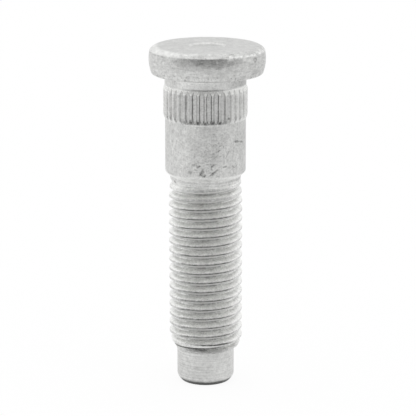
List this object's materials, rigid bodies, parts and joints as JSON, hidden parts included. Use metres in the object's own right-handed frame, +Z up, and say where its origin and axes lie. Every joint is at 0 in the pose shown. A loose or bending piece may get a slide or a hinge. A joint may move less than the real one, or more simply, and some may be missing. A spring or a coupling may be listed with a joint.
{
  "type": "wheel stud",
  "caption": "Press-in wheel stud with a round upset head, serrated shoulder, plain shank and threaded stem ending in a dog point; held in a hub flange, it takes a wheel nut.",
  "frame": {"origin": "centre of the flat end of the point, where the stud stands", "axes": "+Z up the stem from the point to the head; +X to the right in the picture; +Y away from the camera"},
  "size_m": [0.0185, 0.0184, 0.0551],
  "materials": {
    "plated_steel": "satin zinc-flake plating with a fine mottle"
  },
  "bodies": {
    "root": {"wheel_stud": "plated_steel"}
  },
  "joints": []
}
